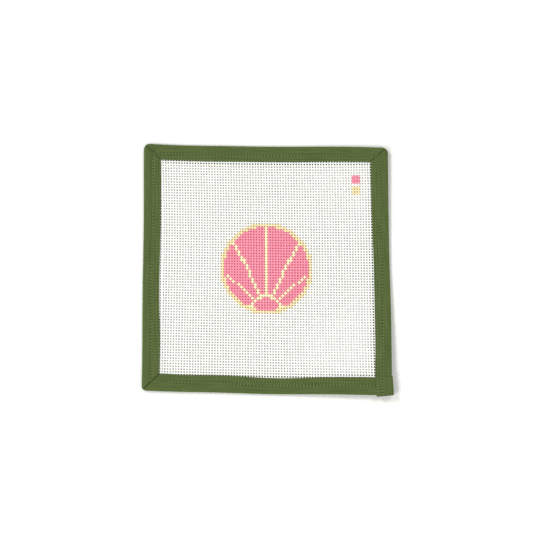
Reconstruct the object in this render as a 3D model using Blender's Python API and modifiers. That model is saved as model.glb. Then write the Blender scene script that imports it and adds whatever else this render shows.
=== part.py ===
"""Needlepoint canvas, bound all round with cotton tape folded over its cut edges.

Metres, +Z up. It lies on a table with the painted face up, +Y away from the reader, and the
origin is under the middle of its box. Names and comments give the sizes in millimetres.
"""

import math

import bmesh
import bpy
from mathutils import Vector

MM = 0.001
X, Y = 0, 1

# Lines where the tape is folded over the canvas: where they would meet at the four corners.
# The cloth is cut by hand and hangs 1.5 degrees off square.
FOLD = {
    "bottom_right": Vector((88.96, -89.65)),
    "bottom_left": Vector((-87.64, -87.44)),
    "top_left": Vector((-89.96, 90.75)),
    "top_right": Vector((85.93, 86.25)),
}
# Lines of the tape's front edge, around the open canvas
FRONT_EDGE = {
    "bottom_right": Vector((76.96, -77.63)),
    "bottom_left": Vector((-75.49, -75.71)),
    "top_left": Vector((-77.19, 78.69)),
    "top_right": Vector((73.81, 75.73)),
}
# Each line wanders inwards between its corners, by these sizes of one to five half waves
FOLD_WAVES = {
    "bottom": (-0.56, 0.10, 0.07, 0.06, -0.10),
    "left": (0.25, -0.12, 0.06, 0.09, -0.01),
    "top": (0.63, 0.48, -0.01, 0.15, 0.04),
    "right": (0.16, 0.24, -0.03, -0.05, 0.03),
}
FRONT_WAVES = {
    "bottom": (-1.21, -0.06, 0.25, 0.25, -0.17),
    "left": (-0.05, -0.08, 0.29, 0.22, 0.09),
    "top": (0.59, 0.34, -0.05, 0.16, -0.05),
    "right": (-0.60, 0.34, 0.04, 0.06, -0.04),
}
# Where the seam lies on each side, as a share of the way from the fold to the front edge
SEAM_AT = {"bottom": 0.53, "left": 0.53, "top": 0.60, "right": 0.48}

# The tape starts at the bottom right corner and is sewn on in this order
ORDER = ("bottom_right", "bottom_left", "top_left", "top_right")
SIDES = ("bottom", "left", "top", "right")

CANVAS_THICK = 0.8
TAPE_THICK = 0.5
CLEARANCE = 0.3
BOUND_THICK = CANVAS_THICK + 2 * CLEARANCE + 2 * TAPE_THICK
CANVAS_CELLS = 20
CANVAS_SHORT_OF_FOLD = 1.65
CANVAS_CORNER_TRIM = 1.5

BACK_LEG_EXTRA = 0.7
FOLD_STEPS = 6
FOLD_ROUND = 0.10
CHANNEL_END = 0.135
CHANNEL_END_ROUND = 0.02
PUFF = 0.08
EDGE_ROUND = 0.12

CORNER_RADIUS = {"bottom_right": 0.6, "bottom_left": 3.8, "top_left": 3.8, "top_right": 4.5}
INNER_RADIUS = 0.5
CORNER_STEPS = 4
SIDE_STEPS = 14
CREASE_DEPTH = 0.2

GROOVE_HALF_TOP = 0.45
GROOVE_HALF_FLOOR = 0.27
FRONT_GROOVE_DEPTH = 0.25
BACK_GROOVE_DEPTH = 0.30
NEEDLE_THREAD = 0.30
BOBBIN_THREAD = 0.20
THREAD_GAP = 0.05
THREAD_SHORT_OF_LAP = 1.0
THREAD_CLIMBS_FROM = 1.2
THREAD_CLIMBS_TO = 0.4
THREAD_TAIL = 0.25
CREASE_ANGLE = math.radians(40)

# The tape's end laps over its start at the bottom right corner and sticks out a little.
# Its cut edge runs from under the fold to under the front edge.
LAP_FOLD = (Vector((89.31, -76.75)), Vector((89.86, -89.80)))
LAP_FRONT_EDGE = (Vector((76.96, -76.75)), Vector((78.71, -90.55)))
LAP_SEAM = (0.54, 0.62)
LAP_RISE = 0.3
LAP_FOLD_WALL = 1.3
LAP_STEPS = 4

# The springy canvas holds its two right hand corners a little off the table
LIFT = {"bottom_right": 2.5, "top_right": 1.0}
LIFT_STARTS = 0.45
HALF_PANEL = 90.0

TAPE_OLIVE = (0.105, 0.147, 0.047)
THREAD_OLIVE = (0.125, 0.175, 0.06)
CANVAS_WHITE = (0.86, 0.86, 0.83)


def clear_scene():
    for obj in list(bpy.data.objects):
        bpy.data.objects.remove(obj, do_unlink=True)


def new_collection(name):
    collection = bpy.data.collections.new(name)
    bpy.context.scene.collection.children.link(collection)
    return collection


def new_material(name, colour, roughness):
    material = bpy.data.materials.new(name)
    material.use_nodes = True
    shader = material.node_tree.nodes["Principled BSDF"]
    shader.inputs["Base Color"].default_value = (*colour, 1.0)
    shader.inputs["Roughness"].default_value = roughness
    shader.inputs["Metallic"].default_value = 0.0
    return material


def smooth_step(t):
    t = min(max(t, 0.0), 1.0)
    return t * t * (3.0 - 2.0 * t)


def lift(x, y):
    """Height in mm by which the springy cloth stands off the table at this place."""
    right = smooth_step((0.5 + 0.5 * x / HALF_PANEL - LIFT_STARTS) / (1.0 - LIFT_STARTS))
    low = smooth_step((0.5 - 0.5 * y / HALF_PANEL - LIFT_STARTS) / (1.0 - LIFT_STARTS))
    high = smooth_step((0.5 + 0.5 * y / HALF_PANEL - LIFT_STARTS) / (1.0 - LIFT_STARTS))
    return right * (LIFT["bottom_right"] * low + LIFT["top_right"] * high)


def placed(flat, height):
    """A point in metres, from a place on the table and a height above it in mm."""
    return Vector((flat[X] * MM, flat[Y] * MM, (height + lift(flat[X], flat[Y])) * MM))


def inward(start, end):
    """Unit vector across a side, towards the middle: the tape runs clockwise."""
    along = (end - start).normalized()
    return Vector((along[Y], -along[X]))


def wandered(waves, share):
    """How far in a line lies at this share of its side, from the sizes of its half waves."""
    return sum(size * math.sin((n + 1) * math.pi * share) for n, size in enumerate(waves))


def along_side(corners, first, last, waves, radii, t):
    """Point at share t of the stretch between two rounded corners."""
    start, end = corners[first], corners[last]
    length = (end - start).length
    share = (radii[0] + (length - sum(radii)) * t) / length
    return start.lerp(end, share) + inward(start, end) * wandered(waves, share)


def round_corner(corners, before, at, after, radius, t):
    """Point at share t of the arc at a corner."""
    arriving = (corners[at] - corners[before]).normalized()
    leaving = (corners[after] - corners[at]).normalized()
    angle = t * math.pi / 2
    back = arriving * radius * (1.0 - math.sin(angle))
    ahead = leaving * radius * (1.0 - math.cos(angle))
    return corners[at] - back + ahead


def tape_stations():
    """Stations along the tape: (fold point, front edge point, seam share, crease depth)."""
    stations = []
    for i, side in enumerate(SIDES):
        first, last, after = (ORDER[(i + k) % 4] for k in range(3))
        next_side = SIDES[(i + 1) % 4]
        ends = (CORNER_RADIUS[first], CORNER_RADIUS[last])
        inner_ends = (INNER_RADIUS, INNER_RADIUS)
        for step in range(SIDE_STEPS + 1):
            t = step / SIDE_STEPS
            fold = along_side(FOLD, first, last, FOLD_WAVES[side], ends, t)
            front = along_side(FRONT_EDGE, first, last, FRONT_WAVES[side], inner_ends, t)
            stations.append((fold, front, SEAM_AT[side], 0.0))
        for step in range(1, CORNER_STEPS):
            t = step / CORNER_STEPS
            fold = round_corner(FOLD, first, last, after, CORNER_RADIUS[last], t)
            front = round_corner(FRONT_EDGE, first, last, after, INNER_RADIUS, t)
            seam = SEAM_AT[side] + (SEAM_AT[next_side] - SEAM_AT[side]) * t
            mitred = last != "bottom_right" and step == CORNER_STEPS // 2
            stations.append((fold, front, seam, CREASE_DEPTH if mitred else 0.0))
    return stations


def groove(seam, width, height, depth):
    """The seam's groove, from the front edge's side to the fold's side."""
    rim, floor = GROOVE_HALF_TOP / width, GROOVE_HALF_FLOOR / width
    return [
        (seam + rim, height),
        (seam + floor, height - depth),
        (seam - floor, height - depth),
        (seam - rim, height),
    ]


def folded_section(width, seam, crease, rise=0.0, channel_end=CHANNEL_END):
    """Outline of the folded tape, as (share of the way to the front edge, height).

    It goes over the front leg to the fold, back under the rear leg, and out of the
    channel that holds the canvas.
    """
    top, bottom = BOUND_THICK + rise, -rise
    middle = BOUND_THICK / 2
    rear_edge = 1.0 + BACK_LEG_EXTRA / width
    section = [(1.0, top - TAPE_THICK), (1.0, top - EDGE_ROUND)]
    section.append((1.0 - EDGE_ROUND / width, top - crease / 2))
    section += [(s, z - crease) for s, z in groove(seam, width, top, FRONT_GROOVE_DEPTH)]
    section.append(((seam + FOLD_ROUND) / 2, top + PUFF - crease))
    for step in range(FOLD_STEPS + 1):
        angle = math.pi * step / FOLD_STEPS
        s = FOLD_ROUND * (1.0 - math.sin(angle))
        section.append((s, middle + (middle + rise) * math.cos(angle)))
    section += reversed(groove(seam, width, bottom, -BACK_GROOVE_DEPTH))
    section.append((rear_edge - EDGE_ROUND / width, bottom))
    section.append((rear_edge, bottom + EDGE_ROUND))
    section.append((rear_edge, bottom + TAPE_THICK))
    section.append((channel_end, bottom + TAPE_THICK))
    section.append((channel_end - CHANNEL_END_ROUND, middle))
    section.append((channel_end, top - TAPE_THICK))
    return section


def ring_of(bm, station, section):
    fold, front = station
    return [bm.verts.new(placed(fold.lerp(front, s), height)) for s, height in section]


def skin(bm, rings, closed):
    """Joins each ring of points to the next, and caps the ends of an open run."""
    count = len(rings[0])
    last = len(rings) if closed else len(rings) - 1
    for i in range(last):
        here, there = rings[i], rings[(i + 1) % len(rings)]
        for k in range(count):
            after = (k + 1) % count
            bm.faces.new((here[k], here[after], there[after], there[k]))
    if not closed:
        bm.faces.new(list(reversed(rings[0])))
        bm.faces.new(rings[-1])


def object_from(bm, name, collection, material):
    bmesh.ops.recalc_face_normals(bm, faces=bm.faces)
    mesh = bpy.data.meshes.new(name)
    bm.to_mesh(mesh)
    bm.free()
    mesh.materials.append(material)
    obj = bpy.data.objects.new(name, mesh)
    collection.objects.link(obj)
    return obj


def make_folded_ring(collection, material):
    """The folded tape round all four sides, a loft because its width and seam vary."""
    bm = bmesh.new()
    rings = []
    for fold, front, seam, crease in tape_stations():
        section = folded_section((front - fold).length, seam, crease)
        rings.append(ring_of(bm, (fold, front), section))
    skin(bm, rings, closed=True)
    return object_from(bm, "binding_tape", collection, material)


def lap_stations():
    """Stations along the lapped end: (fold point, front edge point, seam share)."""
    stations = []
    for step in range(LAP_STEPS + 1):
        t = step / LAP_STEPS
        fold = LAP_FOLD[0].lerp(LAP_FOLD[1], t)
        front = LAP_FRONT_EDGE[0].lerp(LAP_FRONT_EDGE[1], t)
        stations.append((fold, front, LAP_SEAM[0] + (LAP_SEAM[1] - LAP_SEAM[0]) * t))
    return stations


def make_lapped_end(collection, material):
    """The tape's last stretch, which wraps round its own start and ends in a cut edge."""
    bm = bmesh.new()
    rings = []
    for fold, front, seam in lap_stations():
        width = (front - fold).length
        section = folded_section(width, seam, 0.0, LAP_RISE, LAP_FOLD_WALL / width)
        rings.append(ring_of(bm, (fold, front), section))
    skin(bm, rings, closed=False)
    return object_from(bm, "lapped_end", collection, material)


def join_by_union(target, other):
    modifier = target.modifiers.new("lap", "BOOLEAN")
    modifier.operation = "UNION"
    modifier.solver = "EXACT"
    modifier.object = other
    bpy.context.view_layer.update()
    graph = bpy.context.evaluated_depsgraph_get()
    joined = bpy.data.meshes.new_from_object(target.evaluated_get(graph))
    target.modifiers.clear()
    target.data = joined
    bpy.data.objects.remove(other, do_unlink=True)


def make_canvas(collection, material):
    """The stiff woven square, as a thin plate whose edges lie inside the folded tape."""
    bm = bmesh.new()
    bmesh.ops.create_grid(bm, x_segments=CANVAS_CELLS, y_segments=CANVAS_CELLS, size=1.0)
    inset = CANVAS_SHORT_OF_FOLD
    corners = {
        "bottom_right": FOLD["bottom_right"] + Vector((-inset, inset)),
        "bottom_left": FOLD["bottom_left"] + Vector((inset, inset)),
        "top_left": FOLD["top_left"] + Vector((inset, -inset)),
        "top_right": FOLD["top_right"] + Vector((-inset, -inset)),
    }
    middle_height = BOUND_THICK / 2
    for vert in bm.verts:
        right, up = 0.5 + 0.5 * vert.co.x, 0.5 + 0.5 * vert.co.y
        low = corners["bottom_left"].lerp(corners["bottom_right"], right)
        high = corners["top_left"].lerp(corners["top_right"], right)
        flat = low.lerp(high, up)
        across = wandered(FOLD_WAVES["left"], up) * (1.0 - right)
        across -= wandered(FOLD_WAVES["right"], 1.0 - up) * right
        along = wandered(FOLD_WAVES["bottom"], 1.0 - right) * (1.0 - up)
        along -= wandered(FOLD_WAVES["top"], right) * up
        flat += Vector((across, along))
        if vert.is_boundary and len(vert.link_faces) == 1:
            outward = Vector((math.copysign(1.0, vert.co.x), math.copysign(1.0, vert.co.y)))
            flat -= outward * CANVAS_CORNER_TRIM
        vert.co = placed(flat, middle_height)
    canvas = object_from(bm, "canvas", collection, material)
    thickness = canvas.modifiers.new("thickness", "SOLIDIFY")
    thickness.thickness = CANVAS_THICK * MM
    thickness.offset = 0.0
    return canvas


def seam_route(height, rise):
    """Points of a seam thread in metres: round the ring, then out over the lapped end."""
    lap = [fold.lerp(front, seam) for fold, front, seam in lap_stations()]
    lap_top = lap[0][Y]
    start_x = LAP_FRONT_EDGE[0][X] - THREAD_SHORT_OF_LAP
    route, flat = [], None
    for fold, front, seam, crease in tape_stations():
        before, flat = flat, fold.lerp(front, seam)
        under_lap = flat[X] > start_x and flat[Y] < lap_top + THREAD_CLIMBS_FROM
        if under_lap and not route:
            continue
        if under_lap:
            share = (before[Y] - lap_top - THREAD_CLIMBS_FROM) / (before[Y] - flat[Y])
            route.append(placed(before.lerp(flat, share), height))
            break
        if not route:
            share = (before[X] - start_x) / (before[X] - flat[X])
            route.append(placed(before.lerp(flat, share), height))
        route.append(placed(flat, height - (crease if rise > 0 else 0.0)))
    climbed = lap[0] + Vector((0.0, THREAD_CLIMBS_TO))
    tail_end = lap[-1] + Vector((0.0, THREAD_TAIL))
    for flat in [climbed, *lap[1:-1], tail_end]:
        route.append(placed(flat, height + rise))
    return route


def make_thread(name, diameter, height, rise, collection, material):
    """A sewing thread laid in its groove, as a tube along the seam."""
    curve = bpy.data.curves.new(name, "CURVE")
    curve.dimensions = "3D"
    curve.bevel_depth = diameter / 2 * MM
    curve.bevel_resolution = 1
    curve.use_fill_caps = True
    route = seam_route(height, rise)
    spline = curve.splines.new("POLY")
    spline.points.add(len(route) - 1)
    for point, co in zip(spline.points, route):
        point.co = (*co, 1.0)
    curve.materials.append(material)
    thread = bpy.data.objects.new(name, curve)
    collection.objects.link(thread)
    return thread


def shade_smooth(obj):
    obj.data.shade_smooth()
    obj.data.set_sharp_from_angle(angle=CREASE_ANGLE)


def main():
    clear_scene()
    panel = new_collection("bound_needlepoint_canvas")
    canvas_cloth = new_material("sized_cotton_canvas", CANVAS_WHITE, 0.85)
    tape_cloth = new_material("cotton_twill_tape", TAPE_OLIVE, 0.9)
    thread_cloth = new_material("spun_polyester_thread", THREAD_OLIVE, 0.7)

    make_canvas(panel, canvas_cloth)
    tape = make_folded_ring(panel, tape_cloth)
    join_by_union(tape, make_lapped_end(panel, tape_cloth))
    shade_smooth(tape)

    needle_height = BOUND_THICK - FRONT_GROOVE_DEPTH + THREAD_GAP + NEEDLE_THREAD / 2
    make_thread("needle_thread", NEEDLE_THREAD, needle_height, LAP_RISE, panel, thread_cloth)
    bobbin_height = BACK_GROOVE_DEPTH - THREAD_GAP - BOBBIN_THREAD / 2
    make_thread("bobbin_thread", BOBBIN_THREAD, bobbin_height, -LAP_RISE, panel, thread_cloth)


main()
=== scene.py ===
"""Looks of a needlepoint canvas bound in cotton tape: woven threads, painted bun, tape and seam.

Metres, +Z up. The panel lies on a white table with its painted face up. Names and comments give
sizes in millimetres.
"""

import math

import bpy
import numpy as np
from mathutils import Matrix, Vector


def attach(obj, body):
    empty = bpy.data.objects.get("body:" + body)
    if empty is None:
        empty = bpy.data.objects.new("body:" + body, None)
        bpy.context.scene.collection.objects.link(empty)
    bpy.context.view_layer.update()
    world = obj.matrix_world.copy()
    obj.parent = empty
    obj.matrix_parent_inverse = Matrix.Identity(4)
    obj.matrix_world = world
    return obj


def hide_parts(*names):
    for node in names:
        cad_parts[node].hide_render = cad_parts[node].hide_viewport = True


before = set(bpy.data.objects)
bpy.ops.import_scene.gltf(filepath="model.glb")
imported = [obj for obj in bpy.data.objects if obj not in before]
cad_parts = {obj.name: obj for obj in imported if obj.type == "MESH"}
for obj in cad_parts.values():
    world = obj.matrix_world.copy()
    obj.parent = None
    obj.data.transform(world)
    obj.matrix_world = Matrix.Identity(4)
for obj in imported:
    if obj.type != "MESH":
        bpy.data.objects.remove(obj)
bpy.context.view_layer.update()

MM = 0.001
BODY = "root"
rng = np.random.default_rng(13)

# Mono canvas, 13 threads to the inch, a little off square. Threads are counted from the middle
# one, columns to the right and rows upwards.
COLUMN_PITCH = 1.9592
ROW_PITCH = 1.9485
OFF_SQUARE = math.radians(0.84)
MIDDLE_CROSSING = np.array([-0.401, 1.617])
COLUMN_STEP = COLUMN_PITCH * np.array([math.cos(OFF_SQUARE), -math.sin(OFF_SQUARE)])
ROW_STEP = ROW_PITCH * np.array([-math.sin(OFF_SQUARE), math.cos(OFF_SQUARE)])
TO_COUNT = np.linalg.inv(np.stack([COLUMN_STEP, ROW_STEP], axis=1))
# How far the threads have drifted from that even net, across and up: factors of 1, i, j, ij, ii,
# jj, iii, iij, ijj and jjj, with i and j the thread counts over DRIFT_COUNT
DRIFT_COUNT = 40.0
DRIFT_ACROSS = (0.183, -0.254, 0.248, -0.236, -0.046, -0.500, 0.242, -0.070, 0.594, -0.578)
DRIFT_UP = (-0.241, -0.055, -0.201, -0.086, 0.324, 0.443, 0.101, 0.198, -0.023, 0.332)
# Threads are counted this far to each side, past the cut edge that ends them
MOST_THREADS = 47
CANVAS_MIDDLE = 1.2
THREAD_HALF_WIDE = 0.48
THREAD_HALF_THICK = 0.23
THREAD_HALF_ROUND = 1.2
WEAVE_HALF = 0.22
THREAD_SIDES = 6
# Smoothness, in half pitches, and size of the slow changes in each thread's place, in pitches,
# and in its thickness, with the sizes of the quick ones
PLACE_SWAY = (14, 0.014)
PLACE_JITTER = 0.004
SLUB_SWAY = (5, 0.03)
SLUB_JITTER = 0.01
# Sets each thread's pattern apart from its neighbours'
PATTERN_STEP = 7.3
# The cut edge lies this far inside the fold, and its corners are trimmed
CANVAS_INSET = 1.9
CORNER_TRIM = 3.5
# The column next to the tape at the left is crushed flat and wide
CRUSHED_COLUMN = -38
CRUSHED_SWELL = 1.85
# Paint fills the threads out
PAINT_SWELLS = {"bare": 1.0, "pink": 1.45, "yellow": 1.15, "cream": 1.3}

# Lines of the fold and of the front edge, which meet at these corners: bottom right, bottom left,
# top left and top right. The tape is sewn on in that order, so its sides are the bottom, left,
# top and right.
FOLD =np.array([(88.96, -90.05), (-87.64, -87.62), (-89.96, 90.75), (85.93, 86.25)])
FRONT = np.array([(76.96, -77.63), (-75.49, -75.71), (-77.19, 78.69), (73.81, 75.73)])
# Both lines wander inwards between their corners by these sizes of one to five half waves
FOLD_WAVES = (
    (-0.56, 0.10, 0.07, 0.06, -0.10),
    (0.25, -0.12, 0.06, 0.09, -0.01),
    (0.63, 0.48, -0.01, 0.15, 0.04),
    (0.16, 0.24, -0.03, -0.05, 0.03),
)
FRONT_WAVES = (
    (-1.21, -0.06, 0.25, 0.25, -0.17),
    (-0.05, -0.08, 0.29, 0.22, 0.09),
    (0.59, 0.34, -0.05, 0.16, -0.05),
    (-0.60, 0.34, 0.04, 0.06, -0.04),
)
# The seam's place, as a share of the way from the fold to the front edge
SEAM_AT = (0.53, 0.53, 0.60, 0.48)
CORNER_RADIUS = (0.6, 2.8, 4.5, 3.8)
# Each mitre has this much of the front edge before and past its corner
INNER_REACH = 2.0
# The tape's start goes on under the lap by this much at its front edge
START_UNDER_LAP = 4.0
# The right side leaves these ends of its two lines to the lap
FOLD_LEFT_TO_LAP = 13.0
FRONT_LEFT_TO_LAP = 1.0
# How much further in the rear leg reaches than the front edge, at each side's two ends
REAR_EXTRA = ((2.0, 1.0), (0.0, 0.0), (2.2, 2.2), (1.0, 1.9))

# The tape's end laps over its start at the bottom right corner
LAP_FOLD = np.array([(89.31, -76.75), (90.12, -89.85)])
LAP_FRONT = np.array([(76.96, -76.75), (78.05, -91.00)])
LAP_SEAM = (0.54, 0.62)
LAP_RISE = 0.5
LAP_STARTS = 3.0
# Under the lap the tape's start is pressed down, over this stretch, and its own seam is left out
# where it is pressed by more than this share
LAP_PRESS = 0.3
LAP_PRESS_STARTS = 4.0
SEWN_UNDER_LAP = 0.9

# The springy cloth's two lifted corners, and the share of the panel at which they start to rise
LIFT_BOTTOM_RIGHT = 2.5
LIFT_TOP_RIGHT = 1.0
LIFT_STARTS = 0.45
HALF_PANEL = 90.0
# The table is drawn this far below the tape, so that no face of the tape lies in it
TABLE_GAP = 0.05

BOUND_THICK = 2.4
TAPE_THICK = 0.45
FOLD_DEPTH = 1.1
STITCH = 2.33
STEPS_A_STITCH = 4
# The seam's valley and its needle holes, on the face and on the back
SEAM_HALF = 0.60
SEAM_DIP = 0.12
HOLE_DIP = 0.34
REAR_DIP = 0.14
REAR_DIP_SHARE = 0.6
PULL_HALF = 0.60
# Between two stitches the cloth humps up beside the seam
HUMP = 0.16
HUMP_AT = 0.5
HUMP_HALF = 0.8
OUTER_PUFF = 0.14
PUFF_FLATNESS = 0.8
FRONT_EDGE_DROP = 0.20
# The canvas threads show through from here past the seam, and in full after this stretch
EMBOSS = 0.18
EMBOSS_STARTS = 0.3
EMBOSS_STRETCH = 1.2
# Smoothness in stations and size of the slow changes in the puff, the edge's height and its line
PUFF_SWAY = (26, 0.035)
EDGE_SWAY = (18, 0.03)
CREEP_SWAY = (40, 0.05)
# At a mitre the folded strip rises by this much, less near the fold, and settles past it
FLAP_RISE = 0.42
FLAP_REACH = 3.5
FLAP_AT_FOLD = 0.25
FLAP_FULL_AT = 2.0
THREAD_RADIUS = 0.20
# The needle thread sinks into its holes and arches between them, and the bobbin thread less so
STITCH_SUNK = 0.30
STITCH_ARCH = 0.46
STITCH_FLATNESS = 0.6
BOBBIN_RISE = 0.08
BOBBIN_SHARE = 0.5

# Marks on the tape, from 0 to 1: painted shade where pressed in, wear, painted highlight where
# raised, and how wide they are
SHADE_AT_HOLE = 1.1
SHADE_HOLE_HALF = 0.75
SHADE_BETWEEN_THREADS = 0.45
SHADE_AT_REAR_HOLE = 0.6
WORN_FOLD = 0.55
WORN_FOLD_HALF = 0.9
INSIDE_PAINTED_LIGHT = 0.9
HIGHLIGHT_ON_HUMP = 0.48
HIGHLIGHT_AT = 0.1
HIGHLIGHT_HALF = 0.6
HIGHLIGHT_ON_THREADS = 0.36

# Bake maps: faces at a tape's or thread's ends share one spot, and lanes hold the rest
CAP_SPOT = 0.999
TAPE_LANE = 190.0
TAPE_LANE_SHARE = 0.24
SEWING_LANES = 16
SEWING_LANE_SHARE = 0.9
SEWING_SIDES = 6


def smooth_step(t):
    t = np.clip(t, 0.0, 1.0)
    return t * t * (3.0 - 2.0 * t)


def lift(x, y):
    """Height by which the springy cloth stands off the table at this place."""
    right = smooth_step((0.5 + 0.5 * x / HALF_PANEL - LIFT_STARTS) / (1.0 - LIFT_STARTS))
    low = smooth_step((0.5 - 0.5 * y / HALF_PANEL - LIFT_STARTS) / (1.0 - LIFT_STARTS))
    high = smooth_step((0.5 + 0.5 * y / HALF_PANEL - LIFT_STARTS) / (1.0 - LIFT_STARTS))
    return right * (LIFT_BOTTOM_RIGHT * low + LIFT_TOP_RIGHT * high)


def linear(hex_colour):
    """An sRGB hex colour as linear RGBA."""
    shares = [int(hex_colour[i : i + 2], 16) / 255.0 for i in (1, 3, 5)]
    bent = [s / 12.92 if s <= 0.04045 else ((s + 0.055) / 1.055) ** 2.4 for s in shares]
    return (*bent, 1.0)


def wander(count, smoothness, size):
    """A smooth random wave of about this size, with a value for each of count steps."""
    raw = rng.standard_normal(count + 6 * smoothness)
    reach = np.arange(-3 * smoothness, 3 * smoothness + 1)
    bell = np.exp(-0.5 * (reach / smoothness) ** 2)
    wave = np.convolve(raw, bell / np.sqrt((bell**2).sum()), mode="valid")
    return size * wave[:count]


def add_node(tree, kind, settings=None, inputs=None):
    """Adds a node, sets its properties, then sets or links its inputs."""
    node = tree.nodes.new(kind)
    for name, value in (settings or {}).items():
        setattr(node, name, value)
    for name, value in (inputs or {}).items():
        if isinstance(value, bpy.types.NodeSocket):
            tree.links.new(value, node.inputs[name])
        else:
            node.inputs[name].default_value = value
    return node


def new_surface(name, roughness, sheen=0.0):
    """A material whose Principled shader has its plain numbers set on its own sockets."""
    material = bpy.data.materials.new(name)
    material.use_nodes = True
    shader = material.node_tree.nodes["Principled BSDF"]
    shader.inputs["Roughness"].default_value = roughness
    shader.inputs["Sheen Weight"].default_value = sheen
    shader.inputs["Sheen Roughness"].default_value = 0.5
    shader.inputs["Specular IOR Level"].default_value = 0.3
    return material, material.node_tree, shader


# Slanting lines with soft edges, for a thread's twist or a twill's ribs
SLANTING = {"wave_type": "BANDS", "bands_direction": "DIAGONAL", "wave_profile": "SIN"}


def canvas_cotton(name, light, deep, patchy):
    """Sized cotton thread: two plied strands, stiff with starch, matt with a faint gloss.

    The twist shows as slanting lines, drawn 2.2 mm apart along the thread. That is coarser than
    real twist, about 1.3 mm, so that it shows at all. The paint or the bare cotton is a little
    deeper between the lines and in slow patches. Paint lies pale on the top of a thread and
    pools, deeper and warmer, down its sides and underside, and that deeper cotton is also painted
    shade towards the holes, so a painted thread has a cotton for each.
    """
    material, tree, shader = new_surface(name, 0.72)
    place = add_node(tree, "ShaderNodeAttribute", {"attribute_name": "thread_mm"})
    twist = add_node(
        tree,
        "ShaderNodeTexWave",
        SLANTING,
        {"Vector": place.outputs["Vector"], "Scale": 0.28, "Distortion": 1.5},
    )
    patches = add_node(
        tree,
        "ShaderNodeTexNoise",
        None,
        {"Vector": place.outputs["Vector"], "Scale": 0.6, "Detail": 3.0},
    )
    both = add_node(
        tree,
        "ShaderNodeMix",
        {"data_type": "FLOAT"},
        {"Factor": patchy, 2: twist.outputs["Fac"], 3: patches.outputs["Fac"]},
    )
    colour = add_node(
        tree,
        "ShaderNodeMix",
        {"data_type": "RGBA"},
        {"Factor": both.outputs[0], 6: linear(deep), 7: linear(light)},
    )
    tree.links.new(colour.outputs[2], shader.inputs["Base Color"])
    bump = add_node(
        tree,
        "ShaderNodeBump",
        None,
        {"Strength": 0.5, "Distance": 0.04 * MM, "Height": twist.outputs["Fac"]},
    )
    tree.links.new(bump.outputs["Normal"], shader.inputs["Normal"])
    return material


def cotton_twill_tape():
    """Woven cotton twill tape, dyed olive: matt, with fine slanting ribs and slow shade changes.

    Real ribs are about 0.6 mm apart, and are drawn 1.3 mm apart to show at all. Streaks 1 to 2 mm
    wide run along it, as it was ironed. Shade is painted deeper where the cloth dips into needle
    holes, creases and the valleys between the canvas threads under it, and highlights are painted
    paler on the humps between the stitches and on those threads' ridges. The colour is yellower
    along the worn outer fold, and a painted light makes the inside of the fold lighter and
    greener.
    """
    material, tree, shader = new_surface("cotton_twill_tape", 0.9, 0.06)
    place = add_node(tree, "ShaderNodeAttribute", {"attribute_name": "cloth_mm"})
    ribs = add_node(
        tree,
        "ShaderNodeTexWave",
        SLANTING,
        {"Vector": place.outputs["Vector"], "Scale": 0.35, "Distortion": 0.8},
    )
    drawn_out = add_node(
        tree,
        "ShaderNodeVectorMath",
        {"operation": "MULTIPLY"},
        {0: place.outputs["Vector"], 1: (0.06, 0.9, 0.9)},
    )
    streaks = add_node(
        tree,
        "ShaderNodeTexNoise",
        None,
        {"Vector": drawn_out.outputs["Vector"], "Scale": 0.8, "Detail": 3.0, "Roughness": 0.6},
    )
    fibres = add_node(
        tree,
        "ShaderNodeTexNoise",
        None,
        {"Vector": place.outputs["Vector"], "Scale": 1.6},
    )
    contrast = add_node(
        tree,
        "ShaderNodeMapRange",
        None,
        {"Value": streaks.outputs["Fac"], "From Min": 0.3, "From Max": 0.7},
    )
    slow = add_node(
        tree,
        "ShaderNodeMix",
        {"data_type": "RGBA"},
        {"Factor": contrast.outputs["Result"], 6: linear("#465828"), 7: linear("#5B6A38")},
    )
    fine = add_node(
        tree,
        "ShaderNodeMix",
        {"data_type": "FLOAT"},
        {"Factor": 0.6, 2: ribs.outputs["Fac"], 3: fibres.outputs["Fac"]},
    )
    shaded = add_node(
        tree,
        "ShaderNodeMix",
        {"data_type": "RGBA", "blend_type": "MULTIPLY"},
        {"Factor": 0.25, 6: slow.outputs[2], 7: fine.outputs[0]},
    )
    wear_shade_light = add_node(tree, "ShaderNodeAttribute", {"attribute_name": "cloth_wear_shade_light"})
    parts = add_node(tree, "ShaderNodeSeparateXYZ", None, {"Vector": wear_shade_light.outputs["Vector"]})
    colour = shaded.outputs[2]
    # Painted highlight where raised, painted shade where pressed in, then wear along the fold and
    # painted light inside it
    for part, shade in (("Z", "#728249"), ("X", "#263911"), ("Y", "#516A21")):
        mixed = add_node(
            tree,
            "ShaderNodeMix",
            {"data_type": "RGBA"},
            {"Factor": parts.outputs[part], 6: colour, 7: linear(shade)},
        )
        colour = mixed.outputs[2]
    tree.links.new(colour, shader.inputs["Base Color"])
    bump = add_node(
        tree,
        "ShaderNodeBump",
        None,
        {"Strength": 0.6, "Distance": 0.06 * MM, "Height": fine.outputs[0]},
    )
    tree.links.new(bump.outputs["Normal"], shader.inputs["Normal"])
    return material


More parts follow.
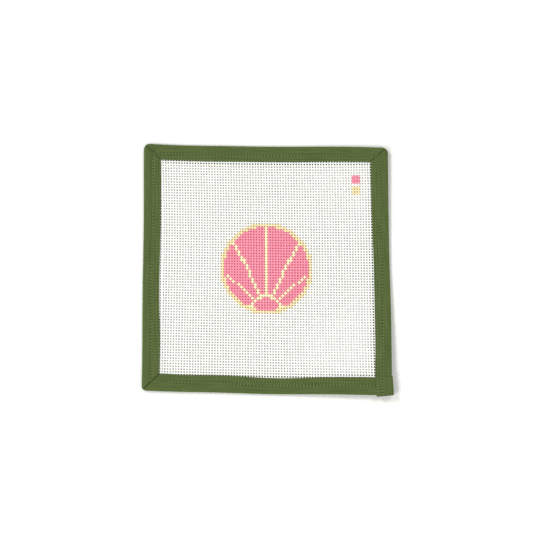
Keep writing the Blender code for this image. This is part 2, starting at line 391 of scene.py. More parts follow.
def spun_sewing_thread():
    """Spun polyester sewing thread, a shade lighter than the tape.

    Its twist, about 0.8 mm in real thread, is drawn 1.6 mm apart to show at all.
    """
    material, tree, shader = new_surface("spun_sewing_thread", 0.6, 0.1)
    place = add_node(tree, "ShaderNodeAttribute", {"attribute_name": "thread_mm"})
    twist = add_node(
        tree,
        "ShaderNodeTexWave",
        SLANTING,
        {"Vector": place.outputs["Vector"], "Scale": 0.4, "Distortion": 0.6},
    )
    colour = add_node(
        tree,
        "ShaderNodeMix",
        {"data_type": "RGBA"},
        {"Factor": twist.outputs["Fac"], 6: linear("#5C6E34"), 7: linear("#7D8F4F")},
    )
    tree.links.new(colour.outputs[2], shader.inputs["Base Color"])
    bump = add_node(
        tree,
        "ShaderNodeBump",
        None,
        {"Strength": 0.5, "Distance": 0.04 * MM, "Height": twist.outputs["Fac"]},
    )
    tree.links.new(bump.outputs["Normal"], shader.inputs["Normal"])
    return material


def mesh_piece(name, points, quads, caps, materials, slots, map_corners, patterns):
    """A mesh from points in mm, with its bake map and the places that its patterns follow."""
    mesh = bpy.data.meshes.new(name)
    faces = [tuple(q) for q in quads.tolist()] + [tuple(c) for c in caps]
    mesh.from_pydata((points * MM).tolist(), [], faces)
    for material in materials:
        mesh.materials.append(material)
    mesh.polygons.foreach_set("material_index", np.asarray(slots, dtype=np.int32))
    mesh.polygons.foreach_set("use_smooth", np.ones(len(faces), dtype=bool))
    layer = mesh.uv_layers.new(name="OFBake")
    layer.data.foreach_set("uv", map_corners.astype(np.float32).ravel())
    for pattern, values in patterns.items():
        attribute = mesh.attributes.new(pattern, "FLOAT_VECTOR", "POINT")
        attribute.data.foreach_set("vector", values.astype(np.float32).ravel())
    mesh.update()
    obj = bpy.data.objects.new(name, mesh)
    bpy.context.scene.collection.objects.link(obj)
    return obj


# The painted design. Counts are of crossings, from the middle one.
BUN_ROW = -1
BUN_RADIUS = 16.9
RIM_WIDE = 1.6
KEY_COLUMN = 33
KEY_ROWS = {"pink": 32, "yellow": 28}
SCORES = (-52.0, -26.0, 0.0, 26.0, 52.0)
SCORE_BEND = 0.28
HINGE = 6.0
PAINTS = ("bare", "pink", "yellow", "cream")


def paint_at(column, row):
    """The paint on this crossing: a round bun scored like a shell, and a key of two colours."""
    for paint, middle in KEY_ROWS.items():
        if abs(column - KEY_COLUMN) <= 1 and abs(row - middle) <= 1:
            return paint
    x, y = column, row - BUN_ROW
    out = math.hypot(x, y)
    if out > BUN_RADIUS:
        return "bare"
    if out > BUN_RADIUS - RIM_WIDE:
        return "yellow"
    foot = BUN_RADIUS - 0.5
    from_foot = math.hypot(x, y + foot)
    if abs(from_foot - HINGE) <= 0.5:
        return "cream"
    if from_foot < HINGE:
        return "pink"
    bearing = math.atan2(x, y + foot)
    opened = 1.0 + SCORE_BEND * (1.0 - from_foot / (2.0 * foot))
    stitch = 0.5 * max(abs(math.cos(bearing)), abs(math.sin(bearing)))
    for score in SCORES:
        if abs(bearing - math.radians(score) / opened) * from_foot <= stitch:
            return "cream"
    return "pink"


def inside_canvas(x, y):
    """True inside the cut edge of the canvas, which lies hidden in the folded tape."""
    inside = np.ones(np.shape(x), dtype=bool)
    for k in range(4):
        start, end = FOLD[k], FOLD[(k + 1) % 4]
        along = (end - start) / np.linalg.norm(end - start)
        inward = np.array([along[1], -along[0]])
        inside &= (x - start[0]) * inward[0] + (y - start[1]) * inward[1] > CANVAS_INSET
        other = (FOLD[k - 1] - start) / np.linalg.norm(FOLD[k - 1] - start)
        past = (x - start[0]) * (along + other)[0] + (y - start[1]) * (along + other)[1]
        inside &= past > 2.0 * CANVAS_INSET + CORNER_TRIM
    return inside


def crossing_place(columns, rows):
    """Where this count of columns and rows falls on the table."""
    x = MIDDLE_CROSSING[0] + columns * COLUMN_STEP[0] + rows * ROW_STEP[0]
    y = MIDDLE_CROSSING[1] + columns * COLUMN_STEP[1] + rows * ROW_STEP[1]
    i, j = columns / DRIFT_COUNT, rows / DRIFT_COUNT
    terms = (1.0, i, j, i * j, i * i, j * j, i**3, i * i * j, i * j * j, j**3)
    for term, across, up in zip(terms, DRIFT_ACROSS, DRIFT_UP):
        x = x + across * term
        y = y + up * term
    return x, y


def woven_threads(name, upright, materials):
    """All the threads that run one way, each over one and under one of the others."""
    counts = np.arange(-2 * MOST_THREADS, 2 * MOST_THREADS + 1) / 2.0
    points, pattern, quads, slots, corners = [], [], [], [], []
    turn = np.arange(THREAD_SIDES) * 2.0 * math.pi / THREAD_SIDES
    around = np.append(turn, 2.0 * math.pi) / (2.0 * math.pi)
    used = 0
    total = 2 * MOST_THREADS + 1
    for number in range(-MOST_THREADS, MOST_THREADS + 1):
        own = number + wander(len(counts), *PLACE_SWAY)
        own = own + PLACE_JITTER * rng.standard_normal(len(counts))
        if upright:
            x, y = crossing_place(own, counts)
        else:
            x, y = crossing_place(counts, own)
        kept = inside_canvas(x, y)
        if kept.sum() < 4:
            continue
        x, y, steps = x[kept], y[kept], counts[kept]
        over = 1.0 if upright else -1.0
        wave = over * math.cos(math.pi * number) * np.cos(math.pi * steps) * WEAVE_HALF
        z = CANVAS_MIDDLE + wave + lift(x, y)
        slub = 1.0 + wander(len(steps), *SLUB_SWAY)
        slub = slub + SLUB_JITTER * rng.standard_normal(len(steps))
        others = np.floor(steps + 0.5).astype(int)
        paints = [paint_at(number, n) if upright else paint_at(n, number) for n in others]
        half = THREAD_HALF_WIDE * slub * np.array([PAINT_SWELLS[paint] for paint in paints])
        if upright and number == CRUSHED_COLUMN:
            half *= CRUSHED_SWELL
        sideways = (1.0, 0.0) if upright else (0.0, 1.0)
        out = half[:, None] * np.cos(turn)[None, :]
        up = THREAD_HALF_THICK * np.sin(turn)[None, :]
        ring = np.stack(
            [
                x[:, None] + sideways[0] * out,
                y[:, None] + sideways[1] * out,
                z[:, None] + up * np.ones_like(out),
            ],
            axis=2,
        )
        rings = len(steps)
        points.append(ring.reshape(-1, 3))
        along_mm = steps * (ROW_PITCH if upright else COLUMN_PITCH)
        place = np.zeros((rings, THREAD_SIDES, 3))
        place[:, :, 0] = along_mm[:, None]
        place[:, :, 1] = THREAD_HALF_ROUND * turn / math.pi
        place[:, :, 2] = PATTERN_STEP * number
        pattern.append(place.reshape(-1, 3))
        first = used + np.arange(rings - 1)[:, None] * THREAD_SIDES
        k = np.arange(THREAD_SIDES)[None, :]
        after = (k + 1) % THREAD_SIDES
        quad = np.stack(
            [first + k, first + after, first + after + THREAD_SIDES, first + k + THREAD_SIDES],
            axis=2,
        )
        if not upright:
            quad = quad[:, :, ::-1]
        quads.append(quad.reshape(-1, 4))
        lane = (number + MOST_THREADS + 0.04 + 0.92 * around) / total
        share = (steps / MOST_THREADS + 1.0) / 2.0
        u0 = np.broadcast_to(share[:-1, None], (rings - 1, THREAD_SIDES))
        u1 = np.broadcast_to(share[1:, None], (rings - 1, THREAD_SIDES))
        v0 = np.broadcast_to(lane[None, :-1], (rings - 1, THREAD_SIDES))
        v1 = np.broadcast_to(lane[None, 1:], (rings - 1, THREAD_SIDES))
        corner = np.stack([u0, v0, u0, v1, u1, v1, u1, v0], axis=2)
        corner = corner.reshape(rings - 1, THREAD_SIDES, 4, 2)
        if not upright:
            corner = corner[:, :, ::-1]
        corners.append(corner.reshape(-1, 2))
        for step in range(rings - 1):
            other = int(math.floor((steps[step] + steps[step + 1]) / 2.0 + 0.5))
            column, row = (number, other) if upright else (other, number)
            paint = PAINTS.index(paint_at(column, row))
            # A painted thread's upper flanks and underside take the deeper pooled cotton, which
            # is also painted shade towards the holes, and its top the pale one
            pooled_and_shaded = paint + len(PAINTS) - 1 if paint else 0
            slots += [pooled_and_shaded, paint, pooled_and_shaded] + [pooled_and_shaded] * (THREAD_SIDES // 2)
        used += rings * THREAD_SIDES
    return mesh_piece(
        name,
        np.concatenate(points),
        np.concatenate(quads),
        [],
        materials,
        slots,
        np.concatenate(corners),
        {"thread_mm": np.concatenate(pattern)},
    )


def along_side(corners, side, waves, ends, t):
    """Places at shares t of a side's line, between the stretches that belong to its corners."""
    start, end = corners[side], corners[(side + 1) % 4]
    length = np.linalg.norm(end - start)
    along = (end - start) / length
    inward = np.array([along[1], -along[0]])
    share = (ends[0] + (length - sum(ends)) * t) / length
    bow = sum(size * np.sin((n + 1) * math.pi * share) for n, size in enumerate(waves[side]))
    return start + (end - start) * share[:, None] + inward * bow[:, None]


def round_corner(at, t):
    """The place on the fold at this share of the arc round a corner."""
    arriving = unit(FOLD[at] - FOLD[at - 1])
    leaving = unit(FOLD[(at + 1) % 4] - FOLD[at])
    angle = t * math.pi / 2.0
    back = CORNER_RADIUS[at] * (1.0 - math.sin(angle))
    ahead = CORNER_RADIUS[at] * (1.0 - math.cos(angle))
    return FOLD[at] - back * arriving + ahead * leaving


def sharp_corner(at, offset):
    """The place on the front edge this far before (negative) or past a corner."""
    arriving = unit(FRONT[at] - FRONT[at - 1])
    leaving = unit(FRONT[(at + 1) % 4] - FRONT[at])
    return FRONT[at] + (arriving if offset < 0.0 else leaving) * offset


def unit(v):
    return v / np.linalg.norm(v)


# Stations through a mitre: share of the arc round the fold's corner, offset of the front edge
# from its corner, shift along the tape, rise of the leaving strip's front leg, how far the cloth
# is pressed into the crease, which also sets the crease's painted shade, share of the crease's
# bow, step in the stitch, and whether the seam shows there. The third to fifth are one above the
# other.
MITRE = (
    (0.24, -1.30, 0.00, 0.0, 0.10, 0.2, 1, True),
    (0.40, -0.55, 0.00, 0.0, 0.85, 0.2, 2, True),
    (0.50, 0.00, 0.40, 0.0, 1.00, 1.0, 3, False),
    (0.50, 0.00, -0.08, 0.5, 0.70, 1.0, 3, False),
    (0.50, 0.00, 0.12, 1.0, 0.00, 1.0, 4, True),
    (0.60, 0.55, 0.00, 1.0, 0.00, 1.0, 5, True),
    (0.76, 1.30, 0.00, 1.0, 0.00, 1.0, 7, True),
)
MITRE_STEPS = 8
# How dark the painted shade in each corner's crease is, and how far the crease bows. The first
# corner has the lap.
MITRE_CREASE_SHADE = (0.0, 0.75, 0.6, 0.8)
MITRE_BOW = (0.0, 0.15, 1.1, 0.15)
CREASE_DIP = 0.15
CREASE_SHADE_FADE = 1.5


class Station:
    """A place along the tape where one cross-section is drawn."""

    def __init__(self, side, fold, front, seam, extra, step, mitre=None, lapped=0.0, sewn=True):
        self.side = side
        self.fold = fold
        self.front = front
        self.seam = seam
        self.extra = extra
        self.phase = step % STEPS_A_STITCH / STEPS_A_STITCH
        self.mitre = mitre
        self.lapped = lapped
        self.sewn = sewn
        self.width = np.linalg.norm(front - fold)
        self.inward = (front - fold) / self.width


def between(ends, t):
    return ends[0] + (ends[1] - ends[0]) * t


def tape_stations():
    """Stations a quarter of a stitch apart, from the tape's start to its lapped end."""
    stations = []
    step = 0
    for side in range(4):
        fold_ends = [CORNER_RADIUS[side], CORNER_RADIUS[(side + 1) % 4]]
        front_ends = [INNER_REACH, INNER_REACH]
        if side == 0:
            front_ends[0] = -START_UNDER_LAP
        if side == 3:
            fold_ends[1] = FOLD_LEFT_TO_LAP
            front_ends[1] = FRONT_LEFT_TO_LAP
        seam_corners = FOLD + (FRONT - FOLD) * SEAM_AT[side]
        length = np.linalg.norm(seam_corners[(side + 1) % 4] - seam_corners[side])
        length -= between((sum(fold_ends), sum(front_ends)), SEAM_AT[side])
        steps = round(length / STITCH) * STEPS_A_STITCH
        t = np.arange(steps + 1) / steps
        fold = along_side(FOLD, side, FOLD_WAVES, fold_ends, t)
        front = along_side(FRONT, side, FRONT_WAVES, front_ends, t)
        for i in range(len(t)):
            extra = between(REAR_EXTRA[side], t[i])
            lapped = 0.0
            if side == 3:
                past = (LAP_FRONT[0, 1] + LAP_STARTS - front[i, 1]) / LAP_STARTS
                lapped = float(smooth_step(past))
            stations.append(
                Station(side, fold[i], front[i], SEAM_AT[side], extra, step + i, None, lapped)
            )
        step += steps
        if side == 3:
            break
        at = side + 1
        for arc_share, offset, shift, rise, pressed, bend, own_step, sewn in MITRE:
            seam = between((SEAM_AT[side], SEAM_AT[at]), arc_share)
            extra = between((REAR_EXTRA[side][1], REAR_EXTRA[at][0]), arc_share)
            own_side = side if rise == 0.0 else at
            fold_at = round_corner(at, arc_share)
            front_at = sharp_corner(at, offset)
            mitre = (at, shift, rise, pressed, bend)
            own_step += step
            stations.append(
                Station(own_side, fold_at, front_at, seam, extra, own_step, mitre, sewn=sewn)
            )
        step += MITRE_STEPS
    lap_steps = round(np.linalg.norm(LAP_FOLD[1] - LAP_FOLD[0]) / STITCH) * STEPS_A_STITCH
    for i in range(lap_steps + 1):
        t = i / lap_steps
        extra = REAR_EXTRA[3][1] * (1.0 - t) ** 2
        stations.append(
            Station(
                3,
                between(LAP_FOLD, t),
                between(LAP_FRONT, t),
                between(LAP_SEAM, t),
                extra,
                step + i,
                None,
                1.0,
            )
        )
    return stations


INNER_SHARES = np.array([1.0, 0.985, 0.93, 0.84, 0.75, 0.66, 0.57, 0.48, 0.39, 0.30, 0.20, 0.10])
SEAM_PLACES = np.array([1.0, 0.5, 0.0, -0.5, -1.0]) * SEAM_HALF
OUTER_SHARES = np.array([0.86, 0.72, 0.58, 0.44, 0.30, 0.15, 0.0])
ARC_POINTS = 6
REAR_OUTER_SHARES = np.array([0.0, 0.35, 0.7])
REAR_SEAM_PLACES = np.array([-0.7, 0.0, 0.7]) * SEAM_HALF
REAR_INNER_SHARES = np.array([0.15, 0.4, 0.65, 0.88, 0.99, 1.0])
SEAM_POINT = len(INNER_SHARES) + 2
FACE_POINTS = len(INNER_SHARES) + len(SEAM_PLACES) + len(OUTER_SHARES)
REAR_SEAM_POINT = FACE_POINTS + ARC_POINTS + len(REAR_OUTER_SHARES) + 1
EMBOSS_COLUMNS = (0.55, 0.5, 0.5, 0.45)
CUT_ROUND = 0.11
CUT_SLANT = 0.01
REAR_FACE_RAISED = 0.06


def emboss(flat, side):
    """How far the canvas threads under the tape push it up, from their count at each place."""
    count = (flat - MIDDLE_CROSSING) @ TO_COUNT.T
    columns = np.cos(2.0 * math.pi * count[:, 0])
    rows = np.cos(2.0 * math.pi * count[:, 1])
    share = EMBOSS_COLUMNS[side]
    return share * columns + (1.0 - share) * rows


def seam_dip(phase):
    """Depth of the seam's valley at this share of a stitch, deepest at the needle hole."""
    return SEAM_DIP + HOLE_DIP * math.cos(math.pi * phase) ** 4


def tape_ring(station, sway):
    """One cross-section of the folded tape: front face, fold, rear face, then the channel.

    Gives the points' places and heights, their distances from the fold, which of them are on
    the front leg, and each one's painted shade where pressed in, its wear, and its painted
    highlight where raised.
    """
    fold, inward, width = station.fold, station.inward, station.width
    seam_d = station.seam * width
    rise = LAP_RISE * station.lapped
    top = BOUND_THICK + rise
    bottom = -rise
    middle = BOUND_THICK / 2.0

    inner_d = seam_d + SEAM_HALF + (width - seam_d - SEAM_HALF) * INNER_SHARES
    outer_d = FOLD_DEPTH + (seam_d - SEAM_HALF - FOLD_DEPTH) * OUTER_SHARES
    d = np.concatenate([inner_d, seam_d + SEAM_PLACES, outer_d])
    flat = fold + inward * d[:, None]
    z = top - FRONT_EDGE_DROP * smooth_step((d - seam_d) / (width - seam_d))
    past_seam = smooth_step((d - seam_d - EMBOSS_STARTS) / EMBOSS_STRETCH)
    z += (EMBOSS * emboss(flat, station.side) + sway[1]) * past_seam
    bulge = np.sin(math.pi * np.clip(d / seam_d, 0.0, 1.0)) ** PUFF_FLATNESS
    z += (OUTER_PUFF + sway[0]) * bulge
    pull = np.exp(-(((d - seam_d) / PULL_HALF) ** 2))
    z -= seam_dip(station.phase) * pull
    hump = math.sin(math.pi * station.phase) ** 2
    z += HUMP * hump * np.exp(-(((d - seam_d - HUMP_AT) / HUMP_HALF) ** 2))
    z[0] -= CUT_ROUND

    arc = np.arange(1, ARC_POINTS + 1) * math.pi / (ARC_POINTS + 1)
    arc_d = FOLD_DEPTH * (1.0 - np.sin(arc))
    arc_z = middle + (middle + rise) * np.cos(arc)

    rear_end = width + station.extra
    rear_d = np.concatenate(
        [
            FOLD_DEPTH + (seam_d - SEAM_HALF - FOLD_DEPTH) * REAR_OUTER_SHARES,
            seam_d + REAR_SEAM_PLACES,
            seam_d + SEAM_HALF + (rear_end - seam_d - SEAM_HALF) * REAR_INNER_SHARES,
        ]
    )
    rear_pull = np.exp(-(((rear_d - seam_d) / PULL_HALF) ** 2))
    rear_z = bottom + (REAR_DIP + REAR_DIP_SHARE * seam_dip(station.phase)) * rear_pull
    rear_z[-1] += CUT_ROUND

    back_d = [rear_end - CUT_SLANT, 0.75 * rear_end, seam_d, 0.5 * seam_d, FOLD_DEPTH]
    back_z = np.full(5, bottom + TAPE_THICK)
    back_z[2] += REAR_FACE_RAISED
    in_arc = np.array([0.75, 0.5, 0.25]) * math.pi
    in_d = FOLD_DEPTH - (FOLD_DEPTH - TAPE_THICK) * np.sin(in_arc)
    in_z = middle + (middle + rise - TAPE_THICK) * np.cos(in_arc)
    past = 0.6 * width + 0.4 * seam_d
    face_d = [FOLD_DEPTH, 0.5 * seam_d, seam_d, past, width - CUT_SLANT]
    face_z = np.interp(face_d, d[::-1], z[::-1]) - TAPE_THICK
    face_z[2] = top - SEAM_DIP - TAPE_THICK
    face_z[-1] = z[1] - TAPE_THICK

    all_d = np.concatenate([d, arc_d, rear_d, back_d, in_d, face_d])
    all_z = np.concatenate([z, arc_z, rear_z, back_z, in_z, face_z])
    flat = fold + inward * all_d[:, None]
    is_face = np.zeros(len(all_d))
    is_face[: len(d)] = 1.0
    is_face[-len(face_d) :] = 1.0
    at_hole = math.cos(math.pi * station.phase) ** 4
    ribs = emboss(flat[: len(d)], station.side) * past_seam
    rear_starts = len(d) + ARC_POINTS
    rear_ends = rear_starts + len(rear_d)
    marks = np.zeros((len(all_d), 3))
    # Painted shade at the needle holes on the face and on the back, and in the valleys between
    # the canvas threads under the tape
    hole = np.exp(-(((d - seam_d) / SHADE_HOLE_HALF) ** 2))
    marks[: len(d), 0] = SHADE_AT_HOLE * at_hole * hole
    marks[: len(d), 0] += SHADE_BETWEEN_THREADS * np.clip(-ribs, 0.0, 1.0)
    marks[rear_starts:rear_ends, 0] = SHADE_AT_REAR_HOLE * at_hole * rear_pull
    marks[:, 1] = WORN_FOLD * np.exp(-((all_d / WORN_FOLD_HALF) ** 2))
    # Inside the fold the wear colour is a painted light, lighter and greener than the shade there
    marks[rear_ends:, 1] = INSIDE_PAINTED_LIGHT
    # Painted highlight on the humps between stitches and on the ridges of the canvas threads
    # under the tape
    raised = np.exp(-(((d - seam_d - HIGHLIGHT_AT) / HIGHLIGHT_HALF) ** 2))
    marks[: len(d), 2] = HIGHLIGHT_ON_HUMP * hump * raised
    marks[: len(d), 2] += HIGHLIGHT_ON_THREADS * np.clip(ribs, 0.0, 1.0)
    return flat, all_z, all_d, is_face, np.clip(marks, 0.0, 1.0)


def travel_at(at):
    """The way along the tape at a mitre, square to its diagonal."""
    diagonal = unit(FRONT[at] - FOLD[at])
    travel = np.array([-diagonal[1], diagonal[0]])
    leaving = FOLD[(at + 1) % 4] - FOLD[at]
    return travel if travel @ leaving > 0 else -travel


def shape_mitre(station, flat, z, d, is_face, marks):
    """Lays the leaving strip's folded edge over the arriving strip, along the diagonal."""
    full = FLAP_AT_FOLD + (1.0 - FLAP_AT_FOLD) * smooth_step(d / FLAP_FULL_AT)
    if station.mitre is None:
        if station.side > 0:
            q = (flat - FOLD[station.side]) @ travel_at(station.side)
            fall = np.exp(-((np.clip(q, 0.0, None) / FLAP_REACH) ** 2))
            z = z + FLAP_RISE * full * is_face * fall
        return flat, z
    at, shift, rise, pressed, bend = station.mitre
    bow = MITRE_BOW[at] * np.sin(math.pi * d / station.width) * bend
    flat = flat + travel_at(at) * (shift + bow)[:, None]
    dip = CREASE_DIP * pressed if rise == 0.0 else 0.0
    z = z + (FLAP_RISE * rise - dip) * full * is_face
    # Painted shade in the crease, fading out towards the fold
    crease_shade = MITRE_CREASE_SHADE[at] * pressed * is_face * smooth_step(d / CREASE_SHADE_FADE)
    marks[:, 0] = np.maximum(marks[:, 0], crease_shade)
    return flat, z


def folded_tape(material):
    """The tape as one folded strip of cloth round all four sides, with its mitres and its lap."""
    stations = tape_stations()
    count = len(stations)
    puff = wander(count, *PUFF_SWAY)
    edge = wander(count, *EDGE_SWAY)
    creep = wander(count, *CREEP_SWAY)
    rings, marks, seam_path = [], [], []
    for n, station in enumerate(stations):
        flat, z, d, is_face, ring_marks = tape_ring(station, (puff[n], edge[n]))
        under = 0.0
        if station.side == 0 and station.mitre is None:
            past = station.front[0] - LAP_FRONT[0, 0] + LAP_PRESS_STARTS
            under = float(smooth_step(past / LAP_PRESS_STARTS))
            z = z - LAP_PRESS * under * is_face
        half = 0.5 * station.width
        flat = flat + station.inward * creep[n] * smooth_step((d - half) / half)[:, None]
        flat, z = shape_mitre(station, flat, z, d, is_face, ring_marks)
        z = z + lift(flat[:, 0], flat[:, 1])
        ring = np.column_stack([flat, z])
        rings.append(ring)
        marks.append(ring_marks)
        if station.sewn and under < SEWN_UNDER_LAP:
            seam_path.append((ring[SEAM_POINT], ring[REAR_SEAM_POINT], station.phase))
    points = np.stack(rings)
    ring_size = points.shape[1]
    k = np.arange(ring_size)
    after = (k + 1) % ring_size
    first = (np.arange(count - 1) * ring_size)[:, None]
    quads = np.stack(
        [first + k, first + k + ring_size, first + after + ring_size, first + after], axis=2
    ).reshape(-1, 4)
    last = (count - 1) * ring_size
    caps = [list(range(ring_size)), list(reversed(range(last, last + ring_size)))]
    along = np.linalg.norm(np.diff(points[:, SEAM_POINT, :2], axis=0), axis=1)
    along = np.concatenate([[0.0], np.cumsum(along)])
    gaps = np.linalg.norm(np.roll(points, -1, axis=1) - points, axis=2)
    around = np.concatenate([np.zeros((count, 1)), np.cumsum(gaps, axis=1)], axis=1)
    pattern = np.zeros((count, ring_size, 3))
    pattern[:, :, 0] = along[:, None]
    pattern[:, :, 1] = around[:, :-1]
    corners = tape_bake_map(stations, along, around)
    cap_corners = np.full((2 * ring_size, 2), CAP_SPOT)
    tape = mesh_piece(
        "tape_cloth",
        points.reshape(-1, 3),
        quads,
        caps,
        [material],
        [0] * (len(quads) + 2),
        np.concatenate([corners, cap_corners]),
        {"cloth_mm": pattern.reshape(-1, 3), "cloth_wear_shade_light": np.concatenate(marks)},
    )
    return tape, seam_path


def tape_bake_map(stations, along, around):
    """Places of the strip's faces on its bake map: four lanes, one for each side."""
    count, size = len(stations), around.shape[1] - 1
    sides = np.array([station.side for station in stations])
    starts = np.array([along[sides == side].min() for side in range(4)])
    lane = sides[:-1]
    u0 = (along[:-1] - starts[lane]) / TAPE_LANE
    u1 = (along[1:] - starts[lane]) / TAPE_LANE
    scale = TAPE_LANE_SHARE / around[:, -1].max()
    v = lane[:, None] / 4.0 + scale * around[:-1]
    w = lane[:, None] / 4.0 + scale * around[1:]
    u0 = np.broadcast_to(u0[:, None], (count - 1, size))
    u1 = np.broadcast_to(u1[:, None], (count - 1, size))
    corner = np.stack([u0, v[:, :-1], u1, w[:, :-1], u1, w[:, 1:], u0, v[:, 1:]], axis=2)
    return np.clip(corner.reshape(-1, 2), 0.0, 1.0)


def sewing_thread(name, path, heights, material):
    """A sewing thread along the seam, which dips into a needle hole at each stitch."""
    sides = SEWING_SIDES
    turn = np.arange(sides) * 2.0 * math.pi / sides
    path = np.array(path)
    centre = path + np.column_stack([np.zeros((len(path), 2)), heights])
    forward = np.gradient(centre, axis=0)
    forward /= np.linalg.norm(forward, axis=1)[:, None]
    side = np.cross(forward, np.array([0.0, 0.0, 1.0]))
    side /= np.linalg.norm(side, axis=1)[:, None]
    up = np.cross(side, forward)
    ring = (
        centre[:, None, :]
        + THREAD_RADIUS * np.cos(turn)[None, :, None] * side[:, None, :]
        + THREAD_RADIUS * np.sin(turn)[None, :, None] * up[:, None, :]
    )
    count = len(path)
    k = np.arange(sides)
    after = (k + 1) % sides
    first = (np.arange(count - 1) * sides)[:, None]
    quads = np.stack([first + k, first + after, first + after + sides, first + k + sides], axis=2)
    quads = quads.reshape(-1, 4)
    caps = [list(reversed(range(sides))), list(range((count - 1) * sides, count * sides))]
    along = np.concatenate([[0.0], np.cumsum(np.linalg.norm(np.diff(centre, axis=0), axis=1))])
    pattern = np.zeros((count, sides, 3))
    pattern[:, :, 0] = along[:, None]
    pattern[:, :, 1] = 0.5 * turn / math.pi
    lanes = SEWING_LANES
    share = along / along[-1] * lanes
    lane = np.minimum(np.floor(share[:-1]), lanes - 1)
    u0 = np.broadcast_to(np.clip(share[:-1] - lane, 0.0, 1.0)[:, None], (count - 1, sides))
    u1 = np.broadcast_to(np.clip(share[1:] - lane, 0.0, 1.0)[:, None], (count - 1, sides))
    v0 = (lane[:, None] + SEWING_LANE_SHARE * k[None, :] / sides) / lanes
    v1 = (lane[:, None] + SEWING_LANE_SHARE * (k + 1)[None, :] / sides) / lanes
    corner = np.stack([u0, v0, u0, v1, u1, v1, u1, v0], axis=2).reshape(-1, 2)
    cap_corners = np.full((2 * sides, 2), CAP_SPOT)
    return mesh_piece(
        name,
        ring.reshape(-1, 3),
        quads,
        caps,
        [material],
        [0] * (len(quads) + 2),
        np.concatenate([corner, cap_corners]),
        {"thread_mm": pattern.reshape(-1, 3)},
    )


def stitch_height(phase):
    """Height of the thread's middle over the seam's floor, at this share of a stitch."""
    return STITCH_ARCH * math.sin(math.pi * phase) ** STITCH_FLATNESS - STITCH_SUNK


def seam_threads(seam_path, material):
    """The needle thread on the front and the bobbin thread on the back."""
    front, front_z, back, back_z = [], [], [], []
    for n in range(len(seam_path) - 1):
        top, low, phase = seam_path[n]
        next_top, next_low = seam_path[n + 1][:2]
        for half in (0.0, 0.5):
            height = stitch_height(phase + half / STEPS_A_STITCH)
            front.append(top + (next_top - top) * half)
            front_z.append(height)
            back.append(low + (next_low - low) * half)
            back_z.append(BOBBIN_RISE - BOBBIN_SHARE * height)
    needle = sewing_thread("needle_stitches", front, front_z, material)
    bobbin = sewing_thread("bobbin_stitches", back, back_z, material)
    return needle, bobbin


def table_top():
    """A wide white table, flat and matt."""
    mesh = bpy.data.meshes.new("table_top")
    half = 4.0
    low = -TABLE_GAP * MM
    corners = [(-half, -half, low), (half, -half, low), (half, half, low), (-half, half, low)]
    mesh.from_pydata(corners, [], [(0, 1, 2, 3)])
    material, _, shader = new_surface("white_paper", 0.9)
    shader.inputs["Base Color"].default_value = linear("#EEEEEB")
    mesh.materials.append(material)
    table = bpy.data.objects.new("table_top", mesh)
    bpy.context.scene.collection.objects.link(table)
    return table


# Soft boxes stand at the four diagonals, and the two on the left are stronger
SURROUND = 0.39
SOFT_BOX_SIZE = 1.4
SOFT_BOXES = (
    ((-2.3, 1.8, 2.6), 64.0),
    ((1.9, 2.0, 2.9), 36.0),
    ((-2.3, -1.8, 2.6), 66.0),
    ((1.9, -2.0, 2.9), 36.0),
)


def soft_light(name, place, size, watts):
    """A square soft box that faces the panel."""
    data = bpy.data.lights.new(name, "AREA")
    data.shape = "SQUARE"
    data.size = size
    data.energy = watts
    light = bpy.data.objects.new(name, data)
    light.location = place
    light.rotation_euler = (-Vector(place)).to_track_quat("-Z", "Y").to_euler()
    bpy.context.scene.collection.objects.link(light)


def white_surround(strength):
    world = bpy.data.worlds.new("white_surround")
    world.use_nodes = True
    background = world.node_tree.nodes["Background"]
    background.inputs["Color"].default_value = (1.0, 1.0, 1.0, 1.0)
    background.inputs["Strength"].default_value = strength
    bpy.context.scene.world = world


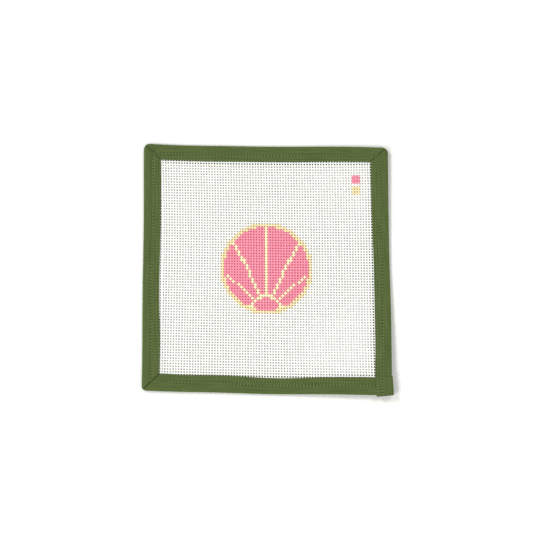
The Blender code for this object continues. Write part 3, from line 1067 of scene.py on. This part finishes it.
def photo_camera():
    """The photograph's view: almost straight down, from a metre above and a little in front."""
    data = bpy.data.cameras.new("camera")
    data.sensor_width = 36.0
    data.lens = 101.3
    data.clip_start = 0.05
    data.clip_end = 20.0
    camera = bpy.data.objects.new("camera", data)
    place = Vector((0.08283, -0.14542, 1.0537))
    right = Vector((0.99697, 0.01054, -0.07704))
    up = Vector((0.00016, 0.99048, 0.13767))
    back = Vector((0.07776, -0.13727, 0.98748))
    turned = Matrix((right, up, back)).transposed().to_4x4()
    camera.matrix_world = Matrix.Translation(place) @ turned
    bpy.context.scene.collection.objects.link(camera)
    bpy.context.scene.camera = camera


def main():
    cottons = [
        canvas_cotton("sized_cotton", "#FBFBF8", "#F1F1EC", 0.5),
        canvas_cotton("cotton_painted_pink", "#F9A5B5", "#F28AA1", 0.5),
        canvas_cotton("cotton_painted_yellow", "#FFF8CE", "#F8E6A8", 0.5),
        canvas_cotton("cotton_painted_cream", "#FFFBD6", "#FAF0BC", 0.5),
        canvas_cotton("cotton_pooled_and_shaded_pink", "#F290A4", "#E6728C", 0.6),
        canvas_cotton("cotton_pooled_and_shaded_yellow", "#F4E0AE", "#E6C384", 0.6),
        canvas_cotton("cotton_pooled_and_shaded_cream", "#FBF2C4", "#EFDD9C", 0.6),
    ]
    warp = woven_threads("canvas_warp", True, cottons)
    weft = woven_threads("canvas_weft", False, cottons)
    tape, seam_path = folded_tape(cotton_twill_tape())
    needle, bobbin = seam_threads(seam_path, spun_sewing_thread())

    for piece, slot, node in (
        (warp, "canvas_cotton", "canvas"),
        (weft, "canvas_cotton", "canvas"),
        (tape, "binding_tape", "binding_tape"),
        (needle, "seam_thread", "needle_thread"),
        (bobbin, "seam_thread", "bobbin_thread"),
    ):
        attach(piece, BODY)
        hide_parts(node)

    table_top()
    white_surround(SURROUND)
    for number, (place, watts) in enumerate(SOFT_BOXES):
        soft_light(f"soft_box_{number}", place, SOFT_BOX_SIZE, watts)
    bpy.context.scene.view_settings.view_transform = "Standard"
    # The threads lie less than three picture elements apart, and the denoiser takes that fine
    # weave for noise and blurs it away.
    bpy.context.scene.cycles.use_denoising = False
    photo_camera()


main()
